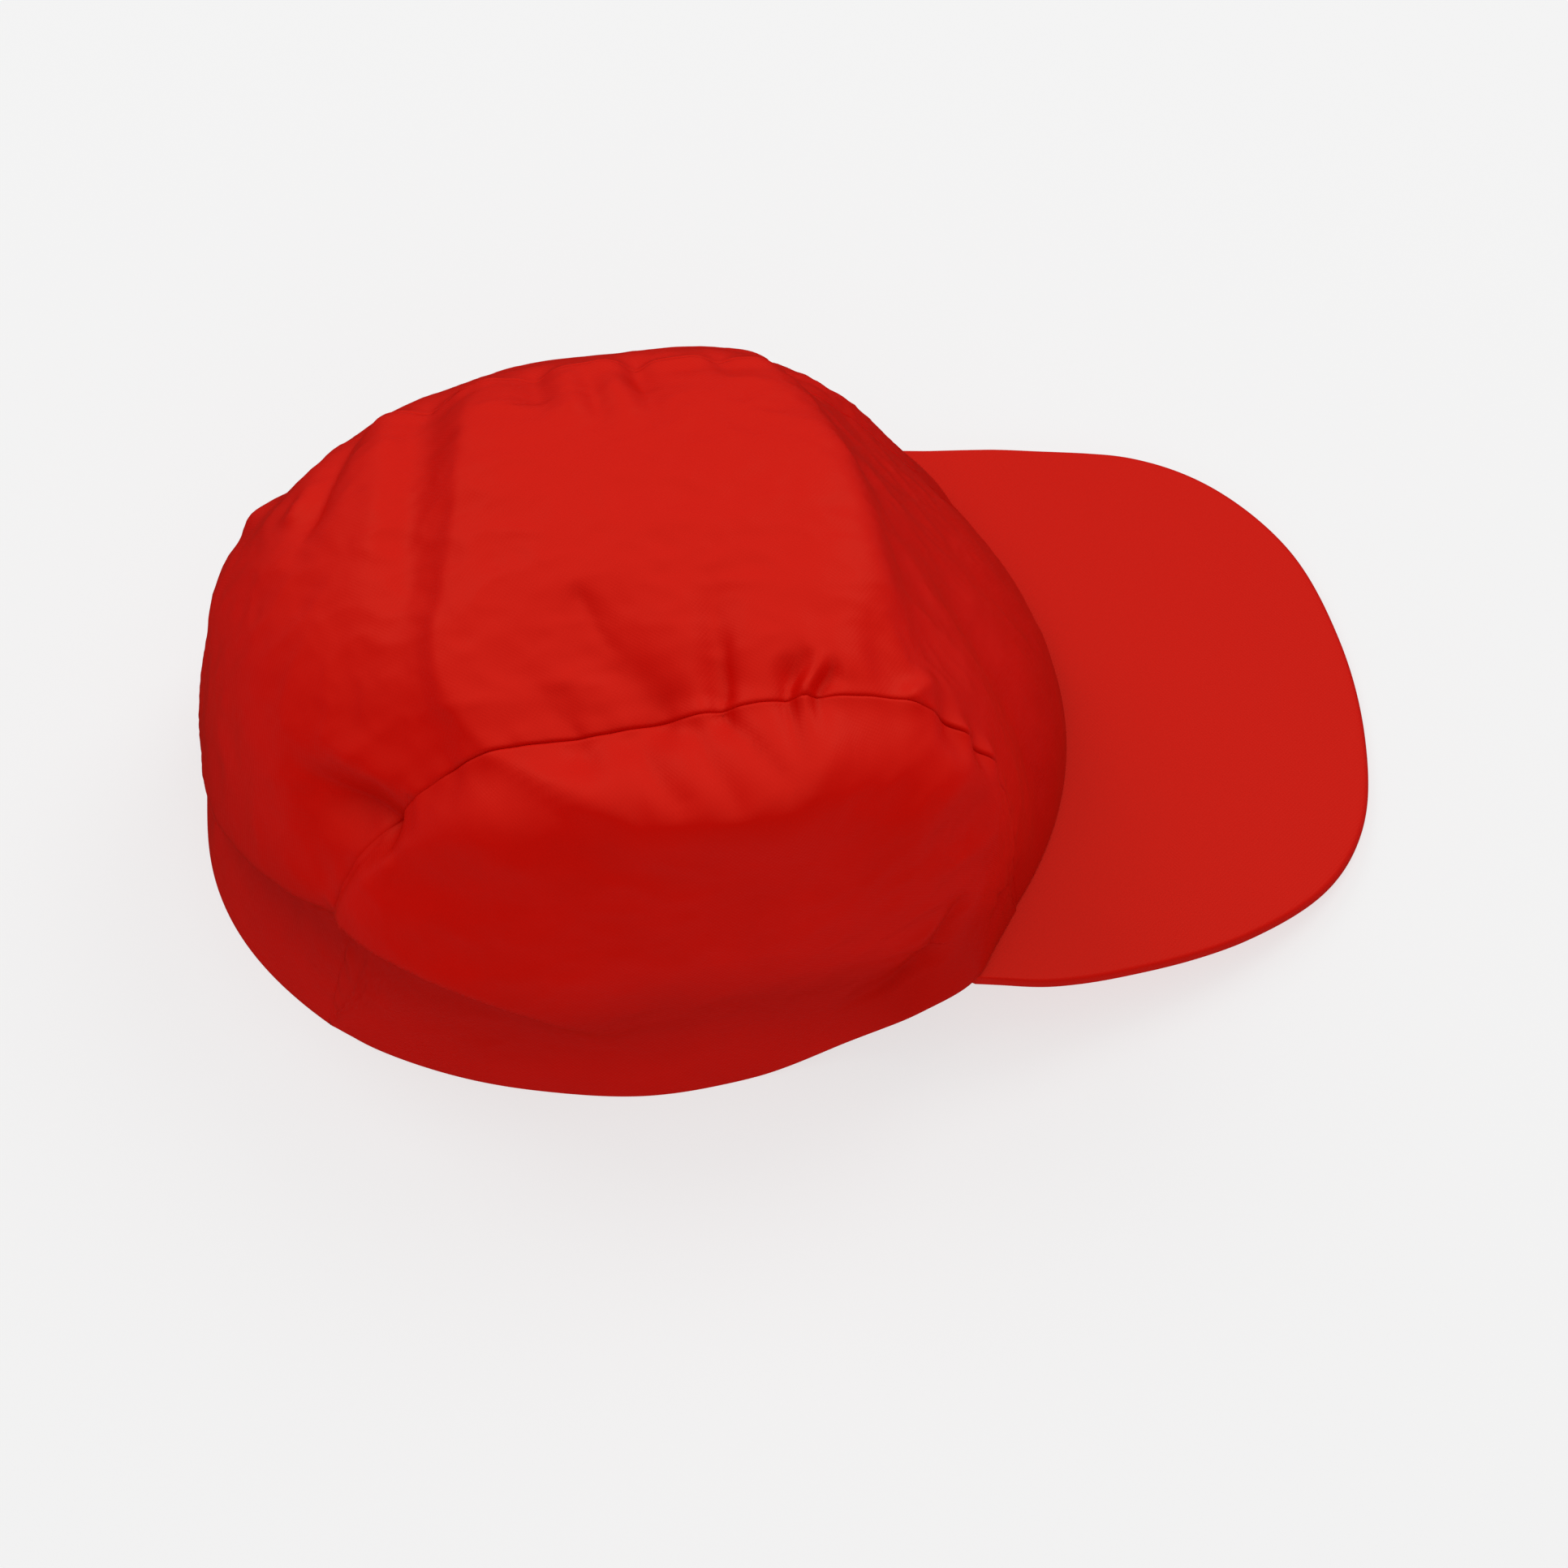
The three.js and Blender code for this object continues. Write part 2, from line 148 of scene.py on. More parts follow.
def dense_line(points, steps=120):
    """A smooth line through the points, as many short steps."""
    points = np.array(points, float)
    ends = np.vstack([2 * points[0] - points[1], points, 2 * points[-1] - points[-2]])
    t = np.linspace(0, 1, steps, endpoint=False)[:, None]
    legs = []
    for p0, p1, p2, p3 in zip(ends, ends[1:], ends[2:], ends[3:]):
        d0, d1, d2 = (max(math.sqrt(np.linalg.norm(b - a)), 1e-4) for a, b in ((p0, p1), (p1, p2), (p2, p3)))
        out = ((p1 - p0) / d0 - (p2 - p0) / (d0 + d1) + (p2 - p1) / d1) * d1
        into = ((p2 - p1) / d1 - (p3 - p1) / (d1 + d2) + (p3 - p2) / d2) * d1
        legs.append(p1 * (2 * t**3 - 3 * t**2 + 1) + out * (t**3 - 2 * t**2 + t)
                    + p2 * (3 * t**2 - 2 * t**3) + into * (t**3 - t**2))
    return np.vstack(legs + [points[-1:]])


def curve_through(points):
    """The line through the points, read by the share of its length."""
    line = dense_line(points)
    length = np.concatenate([[0], np.cumsum(np.linalg.norm(np.diff(line, axis=0), axis=1))])
    share = length / length[-1]
    return lambda s: np.stack([np.interp(s, share, line[:, k]) for k in range(line.shape[1])], -1)


seams = {"right": curve_through(RIGHT_SEAM), "left": curve_through(LEFT_SEAM)}
hems = {
    "right": curve_through([(x, -right, hem_height(x)) for x, right, left in HEM]),
    "left": curve_through([(x, left, hem_height(x)) for x, right, left in HEM]),
}
middle_line = curve_through([(x, 0, z) for x, z, square in MIDDLE])
squareness = curve_through([(x, square, z) for x, z, square in MIDDLE])


def centre_point(along, across):
    """The strip without its folds: along from back to front hem, across from -1, right, to 1, left."""
    right = seams["right"](along)
    left = seams["left"](along)
    share = ((across + 1) / 2)[..., None]
    crown = 1 - np.abs(across) ** squareness(along)[..., 1]
    return right + (left - right) * share + (middle_line(along) - (right + left) / 2) * crown[..., None]


# Section of a side panel from hem to seam: share of the way up, and how far it stands out from the chord.
# The right panel has slumped, so that it hangs out over its own hem.
SECTION = {
    "right": [(0, 0), (0.2, 5), (0.4, 12.5), (0.6, 17.8), (0.78, 19.5), (0.9, 16.5), (1, 0)],
    "left": [(0, 0), (0.2, 3.5), (0.4, 8), (0.6, 10.6), (0.78, 10), (0.9, 6.2), (1, 0)],
}

# How much of that section a station has: share of the way along the hem, and part of the section
SWELL = {
    "right": [(0, 0), (0.1, 0.04), (0.18, 0.2), (0.25, 0.46), (0.32, 0.74), (0.4, 0.93), (0.48, 1),
              (0.6, 1), (0.7, 0.84), (0.8, 0.36), (0.88, 0.07), (1, 0)],
    "left": [(0, 0), (0.1, 0.03), (0.18, 0.14), (0.25, 0.45), (0.32, 0.75), (0.4, 0.9), (0.48, 1),
             (0.6, 1), (0.7, 0.82), (0.8, 0.5), (0.88, 0.12), (1, 0)],
}

# The hem's heading at a station is read over this share of it to either side
HEADING_STEP = 0.1


def profile_through(rows):
    """The second number of the rows as a smooth function of the first."""
    line = dense_line(rows)
    return lambda s: np.interp(s, line[:, 0], line[:, 1])


sections = {side: profile_through(rows) for side, rows in SECTION.items()}
swells = {side: profile_through(rows) for side, rows in SWELL.items()}


def unit(vectors):
    """The directions of the vectors."""
    return vectors / np.maximum(np.linalg.norm(vectors, axis=-1, keepdims=True), 1e-9)


def side_surface(side):
    """A side panel without its folds: along from back to front corner, up from the hem to the seam."""
    def point(along, up):
        foot = hems[side](along)
        top = seams[side](along)
        before = hems[side](np.clip(along - HEADING_STEP, 0, 1))
        ahead = hems[side](np.clip(along + HEADING_STEP, 0, 1)) - before
        outward = unit(np.stack([-ahead[..., 1], ahead[..., 0], 0 * along], -1)) * SIDES[side]
        chord = foot + (top - foot) * up[..., None]
        return chord + outward * (swells[side](along) * sections[side](up))[..., None]
    return point


side_points = {side: side_surface(side) for side in SIDES}

# Folds of the strip: half width in mm to the left and to the right of the path, looking along it from
# outside, how sharp its bottom is (2 is soft, 1 a crease), and the path as along, across and depth in mm.
# A fold with a depth below zero stands up.
CENTRE_FOLDS = [
    # crest of the slack roll over the hem at the back, and the hollow under it
    (15, 5.5, 1.15, [
        (0.11, 0.3, 0), (0.105, -0.15, -2.6), (0.112, -0.5, -4.4),
        (0.135, -0.78, -5.2), (0.155, -1.0, -4.8),
    ]),
    (5, 11, 2, [
        (0.08, 0.1, 0), (0.078, -0.2, 1.6), (0.084, -0.55, 2.6),
        (0.105, -0.8, 2.8), (0.135, -1.0, 2.2),
    ]),
    # dent beside the seam, where the back turns into the top
    (4.6, 11, 1.7, [
        (0.222, -0.6, 0), (0.228, -0.69, 1.6), (0.236, -0.79, 4.4),
        (0.248, -0.89, 6.4), (0.264, -1.0, 6.8),
    ]),
    (6, 3, 2, [(0.262, -0.6, 0), (0.272, -0.8, -1.0), (0.288, -0.94, -0.8)]),
    # rear edge of the flat top, and the groove just behind it
    (10, 4.5, 1.4, [
        (0.437, 0.9, 0), (0.434, 0.55, -1.4), (0.423, 0.2, -1.4), (0.41, -0.05, -1.6),
        (0.395, -0.3, -2.0), (0.376, -0.55, -2.4), (0.369, -0.75, -2.4), (0.376, -0.98, -1.8),
    ]),
    (9, 7, 1.9, [
        (0.393, 0.97, 4.2), (0.391, 0.59, 4.2), (0.383, 0.25, 3.4),
        (0.374, -0.16, 2.6), (0.362, -0.45, 1.2),
    ]),
    # front edge of the flat top
    (8, 12, 2, [
        (0.7, 0.85, 0), (0.692, 0.35, -0.7), (0.68, -0.15, -1.0),
        (0.668, -0.58, -1.3), (0.66, -0.93, -1),
    ]),
    (22, 8, 2, [
        (0.725, 0.7, 0), (0.73, 0.1, 1.0), (0.728, -0.4, 1.6),
        (0.722, -0.7, 1.6), (0.715, -0.93, 1.0),
    ]),
    # wide pucker that runs into the seam, its far wall drawn out over a wedge, with a short crease in it
    (8, 9, 2, [
        (0.45, -0.3, 0), (0.466, -0.45, 0.7), (0.48, -0.62, 1.9),
        (0.492, -0.8, 3.4), (0.504, -0.97, 4.4),
    ]),
    (2.2, 2.2, 1.5, [(0.476, -0.4, 0), (0.484, -0.48, 1.0), (0.487, -0.6, 0.7), (0.492, -0.7, 0)]),
    (6, 5, 2, [(0.44, -0.62, 0), (0.448, -0.76, -0.8), (0.472, -0.88, -1.2), (0.497, -0.96, -0.9)]),
    # short pucker behind it
    (6, 3, 1.4, [(0.428, -0.7, 0), (0.432, -0.8, 0.5), (0.436, -0.9, 0.8), (0.444, -0.98, 0.8)]),
    # straight pucker
    (4.5, 3.4, 1.7, [
        (0.58, -0.35, 0), (0.574, -0.48, 0.8), (0.565, -0.66, 1.9),
        (0.558, -0.83, 2.8), (0.553, -0.99, 3.2),
    ]),
    (1.6, 1.6, 1.6, [(0.572, -0.66, 0), (0.566, -0.8, 0.9), (0.561, -0.95, 1.1)]),
    # curled pucker, a bright crescent between two dark ones
    (2.2, 3.2, 1.5, [(0.63, -0.82, 0), (0.62, -0.86, 1.8), (0.611, -0.92, 2.8), (0.605, -0.99, 2.4)]),
    (1.6, 1.6, 2, [(0.64, -0.84, 0), (0.63, -0.89, -1.6), (0.622, -0.95, -2.2), (0.617, -1.0, -1.4)]),
    (2.6, 1.8, 1.6, [(0.648, -0.87, 0), (0.639, -0.91, 1.8), (0.632, -0.96, 2.0), (0.627, -1.0, 1.2)]),
    # soft groove and ridge at the front shoulder
    (4, 4, 2, [(0.675, -0.62, 0), (0.678, -0.8, 1.5), (0.682, -0.97, 1.3)]),
    (3, 2.6, 1.6, [(0.735, -0.8, 0), (0.722, -0.88, -1.8), (0.708, -0.95, -2.2), (0.698, -0.99, -1.2)]),
    # puckers along the far seam
    (5, 5, 1.6, [(0.489, 1.0, 2.6), (0.49, 0.83, 2.8), (0.493, 0.68, 1.2), (0.48, 0.45, 0)]),
    (4, 4, 1.6, [(0.57, 1.0, 3.2), (0.57, 0.86, 2.8), (0.571, 0.62, 1.2), (0.573, 0.42, 0)]),
    (3, 3, 1.6, [(0.531, 0.95, 0.6), (0.532, 0.7, 1.6), (0.535, 0.47, 0)]),
    (4, 4, 2, [(0.551, 0.97, -1.4), (0.551, 0.75, -1.2), (0.55, 0.5, 0)]),
    (4, 4, 2, [(0.512, 0.97, -1.2), (0.513, 0.75, -1.0), (0.515, 0.5, 0)]),
    # streaks at the far back
    (4, 5, 1.5, [
        (0.33, 0.95, 1.6), (0.325, 0.7, 2.8), (0.317, 0.46, 2.4),
        (0.303, 0.28, 1.4), (0.283, 0.15, 0),
    ]),
    (5, 5, 2, [(0.368, 0.95, -1.6), (0.375, 0.55, -1.8), (0.367, 0.22, -1.2), (0.353, -0.03, 0)]),
    (3, 3, 2, [(0.31, 0.7, 0), (0.297, 0.51, -1.4), (0.285, 0.4, 0)]),
    (6, 6, 2, [(0.21, 0.72, 0), (0.22, 0.82, -2.2), (0.225, 0.9, -1.6)]),
    # darkest strip of the front, beside the peak
    (8, 10, 1.8, [
        (0.78, 0.2, 0), (0.81, -0.23, 1.6), (0.85, -0.36, 2.2), (0.9, -0.52, 2.2), (0.96, -0.7, 1.2),
    ]),
    (12, 9, 2, [(0.75, 0.5, 0), (0.77, 0.0, -1.2), (0.785, -0.5, -1.4), (0.79, -0.9, -0.6)]),
]

# Folds of the side panels, as in the strip's table, with the path as along, up and depth
SIDE_FOLDS = {
    "right": [
        # crest of the slack roll over the hem, and the hollow under it
        (15, 5.5, 1.15, [
            (0.165, 1.0, -4.8), (0.178, 0.93, -5.4), (0.215, 0.79, -6.0), (0.265, 0.65, -6.4),
            (0.315, 0.54, -6.2), (0.348, 0.46, -5.2), (0.378, 0.37, -3.6), (0.43, 0.27, 0),
        ]),
        (5, 11, 2, [
            (0.15, 0.89, 2.2), (0.165, 0.79, 2.8), (0.2, 0.65, 3.2), (0.25, 0.51, 3.2),
            (0.3, 0.4, 2.8), (0.337, 0.32, 1.8), (0.365, 0.24, 1.0), (0.41, 0.16, 0),
        ]),
        # edge of the facet under the seam, where the panel turns down
        (12, 9, 1.8, [
            (0.4, 0.99, 0), (0.432, 0.955, -2.0), (0.453, 0.94, -3.3),
            (0.487, 0.915, -4.4), (0.522, 0.9, -5.1), (0.573, 0.89, -5.3),
            (0.605, 0.91, -4.6), (0.63, 0.94, -3.1), (0.665, 0.965, 0),
        ]),
        # narrow ridge from the rear corner of the top
        (8, 2.4, 1.4, [
            (0.37, 1.0, -0.6), (0.39, 0.985, -1.8), (0.42, 0.965, -2.6),
            (0.45, 0.945, -2.0), (0.48, 0.925, 0),
        ]),
        # slack creases across the facet, which fan out from the puckers of the seam
        (1.8, 2.8, 1.4, [(0.552, 1.0, 0.6), (0.565, 0.98, 1.2), (0.585, 0.955, 1.2), (0.605, 0.93, 0)]),
        (3.5, 2.2, 1.6, [(0.53, 1.0, 0.8), (0.535, 0.97, 1.4), (0.548, 0.935, 1.2), (0.56, 0.9, 0)]),
        (3.5, 2.0, 1.6, [(0.475, 1.0, 0.8), (0.488, 0.975, 1.3), (0.505, 0.945, 1.2), (0.515, 0.915, 0)]),
        (3, 3, 2, [(0.435, 1.0, 0.5), (0.447, 0.98, 1.0), (0.46, 0.96, 0)]),
        (2.4, 2.4, 2, [(0.6, 1.0, 0.6), (0.605, 0.97, 1.0), (0.615, 0.94, 0)]),
        # hollows below the facet
        (6, 6, 2, [
            (0.26, 0.93, 0), (0.278, 0.9, 1.0), (0.325, 0.83, 1.6),
            (0.367, 0.785, 1.4), (0.42, 0.74, 0),
        ]),
        (9, 9, 2, [(0.74, 0.9, 0), (0.758, 0.8, 1.8), (0.77, 0.7, 0)]),
        # crease at the front temple
        (3.4, 3, 1.3, [
            (0.8, 0.56, 0), (0.787, 0.49, 2.2), (0.775, 0.4, 2.8),
            (0.765, 0.31, 1.4), (0.75, 0.27, 0),
        ]),
        (3, 2.6, 1.3, [
            (0.765, 0.34, 0), (0.752, 0.26, 2.4), (0.725, 0.2, 2.2),
            (0.69, 0.17, 1.2), (0.65, 0.16, 0),
        ]),
        (3, 3, 2, [(0.77, 0.5, 0), (0.757, 0.4, -1.2), (0.744, 0.32, 0)]),
        (3, 3, 1.5, [(0.895, 0.6, 0), (0.892, 0.5, 1.2), (0.885, 0.3, 1.2), (0.88, 0.2, 0)]),
    ],
    "left": [
        (7, 6, 1.6, [
            (0.15, 0.8, 0), (0.193, 0.65, 2.4), (0.25, 0.56, 3.0),
            (0.307, 0.49, 3.0), (0.36, 0.38, 2.4), (0.41, 0.27, 0),
        ]),
        (6, 6, 1.6, [
            (0.79, 0.66, 0), (0.77, 0.55, 2.0), (0.75, 0.42, 2.4),
            (0.71, 0.28, 1.8), (0.64, 0.19, 0),
        ]),
        (8, 8, 2, [(0.42, 0.9, 0), (0.415, 0.8, 2.0), (0.407, 0.67, 0)]),
        (8, 8, 2, [(0.68, 0.93, 1.5), (0.7, 0.88, 2.2), (0.713, 0.8, 0)]),
        (7, 7, 2, [(0.56, 0.9, 0), (0.55, 0.76, 1.6), (0.56, 0.6, 0)]),
    ],
}

# Points between two points of a fold's path, and how many half widths away a fold is still felt
FOLD_STEPS = 16
FOLD_REACH = 3


def surface_normal(surface, along, across, flip=1):
    """Outward normal of a panel's surface at its two coordinates."""
    step = 0.004
    ahead = surface(np.clip(along + step, 0, 1), across) - surface(np.clip(along - step, 0, 1), across)
    up = surface(along, np.clip(across + step, -1, 1)) - surface(along, np.clip(across - step, -1, 1))
    return unit(np.cross(ahead, up) * flip)


def press_folds(points, normals, folds, surface):
    """How deep the folds lie at each point of a panel."""
    sink = np.zeros(points.shape[:2])
    for left, right, sharpness, path in folds:
        line = dense_line(path, FOLD_STEPS)
        route = surface(line[:, 0], line[:, 1])
        heading = unit(np.gradient(route, axis=0))
        reach = FOLD_REACH * max(left, right)
        near = np.all((points > route.min(0) - reach) & (points < route.max(0) + reach), axis=-1)
        here = points[near]
        apart = here[:, None] - route[None]
        distance = np.linalg.norm(apart, axis=-1)
        nearest = distance.argmin(1)
        rows = np.arange(len(here))
        leftward = np.cross(normals[near], heading[nearest])
        is_left = (leftward * apart[rows, nearest]).sum(-1) > 0
        width = np.where(is_left, left, right)
        sink[near] += line[nearest, 2] * np.exp(-((distance[rows, nearest] / width) ** sharpness))
    return sink


# Dips of the seams themselves: share of the seam, half width as a share, and depth in mm
SEAM_DIPS = {
    "right": [
        (0.264, 0.012, 1.4),
        (0.445, 0.008, 0.6),
        (0.505, 0.018, 2.0),
        (0.556, 0.008, 1.2),
        (0.605, 0.005, 1.0),
        (0.6175, 0.004, -0.8),
        (0.628, 0.005, 0.7),
        (0.742, 0.014, 1.6),
        (0.762, 0.008, -0.8),
        (0.782, 0.011, 1.5),
        (0.802, 0.008, -0.6),
        (0.822, 0.01, 1.0),
    ],
    "left": [
        (0.2, 0.02, 1.6),
        (0.33, 0.012, 1.0),
        (0.402, 0.016, 1.2),
        (0.489, 0.014, 1.4),
        (0.57, 0.011, 1.4),
        (0.64, 0.01, 1.6),
        (0.72, 0.014, 1.8),
    ],
}

# Small puckers that the stitching draws in all along a seam: depth and size in mm
SEAM_PUCKER = (0.7, 5.5)
PUCKER_SEED = 4.2

# A seam's rough length in mm, the samples taken along it, and where the cloth's direction is read beside it
SEAM_LENGTH = 300.0
SEAM_SAMPLES = 401
JUST_INSIDE = 0.99


def cloth_noise(places, depth, size, seed):
    """Soft unevenness of slack cloth over its flat places in mm."""
    values = [noise.noise(Vector((u / size, v / size, seed))) for u, v in places.reshape(-1, 2)]
    return depth * np.array(values).reshape(places.shape[:2])


def edge_folds(side, along):
    """Depth of the strip's folds, and of the side panel's, where they meet the seam."""
    full = np.ones_like(along)
    strip_edge = centre_point(along, full * SIDES[side])[:, None]
    strip_out = surface_normal(centre_point, along, full * SIDES[side] * JUST_INSIDE)[:, None]
    side_edge = side_points[side](along, full)[:, None]
    side_out = surface_normal(side_points[side], along, full * JUST_INSIDE, -SIDES[side])[:, None]
    return (press_folds(strip_edge, strip_out, CENTRE_FOLDS, centre_point)[:, 0],
            press_folds(side_edge, side_out, SIDE_FOLDS[side], side_points[side])[:, 0])


def seam_depths(side):
    """Depth of a seam and of both panels' own folds there, each read by the share of the seam's length."""
    shares = np.linspace(0, 1, SEAM_SAMPLES)
    of_strip, of_side = edge_folds(side, shares)
    deep, size = SEAM_PUCKER
    places = np.stack([shares * SEAM_LENGTH, 0 * shares], -1)[:, None]
    pucker = cloth_noise(places, deep, size, PUCKER_SEED)[:, 0]
    dips = sum(depth * np.exp(-(((shares - at) / half) ** 2)) for at, half, depth in SEAM_DIPS[side])
    level = (of_strip + of_side) / 2 + dips + pucker
    return {name: (lambda along, row=row: np.interp(along, shares, row))
            for name, row in (("seam", level), ("strip", of_strip), ("side", of_side))}


depths = {side: seam_depths(side) for side in SIDES}

# Slack of the cloth, as depth and size in mm and the stretch of the flat places: first soft rises and
# hollows, then creases, of which the strip has more than the side panels. No two panels are alike.
SLACK = (0.55, 34.0, (0.6, 1.0))
CREASES = [(1.3, 21.0, (0.6, 1.1)), (1.0, 10.0, (0.7, 1.1)), (0.45, 5.0, (0.8, 1.0))]
CREASED = {"strip": 0.8, "side": 0.6}
SLACK_SEED = {"strip": 3.7, "right": 11.3, "left": 23.9}

# Beside a seam, in mm from it: where the cloth is slack again, how far the seam's own dips reach into the
# panels, and how deep and how wide both panels sag to it
SLACK_FROM_SEAM = 5.0
SEAM_DIP_REACH = 5.0
SEAM_SAG = (0.55, 6.0)


def fade(distance, reach):
    """One at a line, and falling off softly within about the reach of it."""
    return np.exp(-((distance / reach) ** 2))


def wrinkles(side, panel, along, flat, from_seam, own, seed):
    """Depth of a panel's cloth: its own folds and slack, held to the depth of the seam at the seam."""
    deep, size, stretch = SLACK
    slack = cloth_noise(flat * stretch, deep, size, seed)
    for deep, size, stretch in CREASES:
        slack = slack + CREASED[panel] * np.abs(cloth_noise(flat * stretch, deep, size, seed + size))
    sag, width = SEAM_SAG
    free = ramp(from_seam, 0, SLACK_FROM_SEAM)
    held = (depths[side]["seam"](along) - depths[side][panel](along)) * fade(from_seam, SEAM_DIP_REACH)
    return own + slack * free * free * (3 - 2 * free) + held + sag * fade(from_seam, width)


# Heights above the hem in mm between which the cloth becomes free to fold, and between which the seam
# allowances, trimmed short at the hem, come to their full width
STRIP_LENGTH = 380.0
FREE_ABOVE_HEM = {"strip": (2.0, 18.0), "side": (2.0, 16.0)}
FULL_ABOVE_HEM = {"strip": (13.0, 21.0), "side": (13.0, 25.0)}
SHORTEST_ALLOWANCE = 0.2


def strip_to_hem(along):
    """Distance along the strip from its nearer hem."""
    return np.minimum(along, 1 - along) * STRIP_LENGTH


def free_of_hem(along):
    """How freely the strip folds at a share of its length."""
    return ramp(strip_to_hem(along), *FREE_ABOVE_HEM["strip"])


def trimmed(from_seam, above_hem, panel):
    """The distances from the seam, with those in the allowance, below zero, shortened near the hem."""
    share = np.maximum(ramp(above_hem, *FULL_ABOVE_HEM[panel]), SHORTEST_ALLOWANCE)
    return np.where(from_seam < 0, from_seam * share, from_seam)


# The seam's roll: its radius in mm, the lap that hides the joint between the panels, and how hard it is
# drawn in, as share of the seam and part of the full roll. It runs out where a side panel gets narrow.
SEAM_ROLL = 1.0
SEAM_LAP = 0.2
SEAM_DRAW = {
    "right": [
        (0, 0.12), (0.2, 0.12), (0.245, 0.15), (0.266, 0.6), (0.28, 0.3), (0.322, 0.35), (0.34, 0.85),
        (0.7, 0.75), (0.728, 0.8), (0.736, 2.5), (0.757, 2.5), (0.766, 0.9), (0.78, 2.3), (0.795, 2.3),
        (0.81, 0.8), (1, 0.6),
    ],
    "left": [(0, 0.6), (0.3, 0.9), (0.7, 1), (1, 0.6)],
}
NARROW = 12.0

# Both sewn edges face the same way, and give alike, within about this distance of the seam in mm. Their
# shared direction is sampled along the seam, short of its ends, and a little way into both panels.
SEAM_TURN = 5.0
TURN_SAMPLES = 160
TURN_ENDS = 0.01
BESIDE_SEAM = 0.985

draws = {side: np.array(rows) for side, rows in SEAM_DRAW.items()}


def seam_normal(side):
    """The direction that both sewn edges share, read by the share of the seam's length."""
    shares = np.linspace(TURN_ENDS, 1 - TURN_ENDS, TURN_SAMPLES)
    beside = np.full_like(shares, BESIDE_SEAM)
    strip_out = surface_normal(centre_point, shares, beside * SIDES[side])
    side_out = surface_normal(side_points[side], shares, beside, -SIDES[side])
    shared = unit(strip_out + side_out)
    return lambda along: unit(np.stack([np.interp(along, shares, shared[:, k]) for k in range(3)], -1))


seam_normals = {side: seam_normal(side) for side in SIDES}


def turned_to_seam(normals, side, along, from_seam):
    """The panel's normals, turned near the seam to the direction that both sewn edges share."""
    near = fade(np.maximum(from_seam, 0), SEAM_TURN)[..., None]
    return unit(normals * (1 - near) + seam_normals[side](along) * near)


def side_height(side, along):
    """Height of a side panel, straight from its hem to its seam."""
    return np.linalg.norm(seams[side](along) - hems[side](along), axis=-1)


def draw_of(side, along):
    """How hard the seam is drawn in at its shares."""
    draw = np.interp(along, draws[side][:, 0], draws[side][:, 1])
    return draw * np.minimum(1, side_height(side, along) / NARROW)


def roll_depth(from_seam):
    """How far a panel has rolled in at a distance from its seam."""
    inside = np.clip(SEAM_ROLL - from_seam, 0, SEAM_ROLL)
    return SEAM_ROLL - np.sqrt(np.maximum(SEAM_ROLL**2 - inside**2, 0))


def sewn_edge(points, turn, from_seam, draw):
    """Rolls a panel's rows in at its seam, and its allowance, below zero in from_seam, further in."""
    allowance = np.maximum(-from_seam, 0) * np.minimum(draw, 1)
    return points - turn * (roll_depth(np.maximum(from_seam, 0)) * draw + allowance)[..., None]


# Thickness of the cloth and radius of the turned hem in mm, rows round the turn and round the seam's roll,
# and places of the other rows beside the edges in mm: above the hem, in the allowance and from the roll on
CLOTH = 0.7
HEM_ROLL = 0.85
HEM_ROWS = 5
HEM_STEPS = [0.0, 1.4, 3.2, 5.4, 8.0, 11.0]
ALLOWANCE_STEPS = [-5.0, -2.5, -0.8]
ROLL_ROWS = 5
SEAM_STEPS = [0.5, 1.1, 1.8, 2.7, 3.8, 5.1, 6.6, 8.3]

roll_angles = np.linspace(math.pi / 2, 0, ROLL_ROWS + 1)
roll_steps = SEAM_ROLL * (1 - np.sin(roll_angles))
edge_steps = np.concatenate([ALLOWANCE_STEPS, roll_steps, SEAM_ROLL + np.array(SEAM_STEPS)])


def turn_hem(points, normals, flat, radius):
    """Turns the cloth in along the first row of a grid: round a half circle, then up inside."""
    down = unit(points[0] - points[1])
    inward = -normals[0]
    room = radius[:, None]
    bend = []
    bend_flat = []
    for angle in np.linspace(0, math.pi, HEM_ROWS + 2)[1:-1]:
        bend.append(points[0] + inward * room * (1 - math.cos(angle)) + down * room * math.sin(angle))
        bend_flat.append(flat[0] - np.stack([radius * 0, radius * angle], -1))
    rows = len(HEM_STEPS)
    leaf = points[:rows] - normals[:rows] * 2 * room
    leaf_flat = 2 * flat[0] - flat[:rows] - np.stack([radius * 0, radius * math.pi], -1)
    turned = np.concatenate([leaf[::-1], np.array(bend)[::-1]])
    turned_flat = np.concatenate([leaf_flat[::-1], np.array(bend_flat)[::-1]])
    return np.concatenate([turned, points]), np.concatenate([turned_flat, flat])


# Middle of the rim in the model's own frame, in mm, and the height in mm within which the cap's own weight
# presses the hem flat on the table
RIM_IN_MODEL = (-34.4, 0.5, 0)
PRESSED_FLAT = 0.25


def mesh_normals(points, flip=1):
    """Normals of a grid of points."""
    return unit(np.cross(np.gradient(points, axis=0), np.gradient(points, axis=1)) * flip)


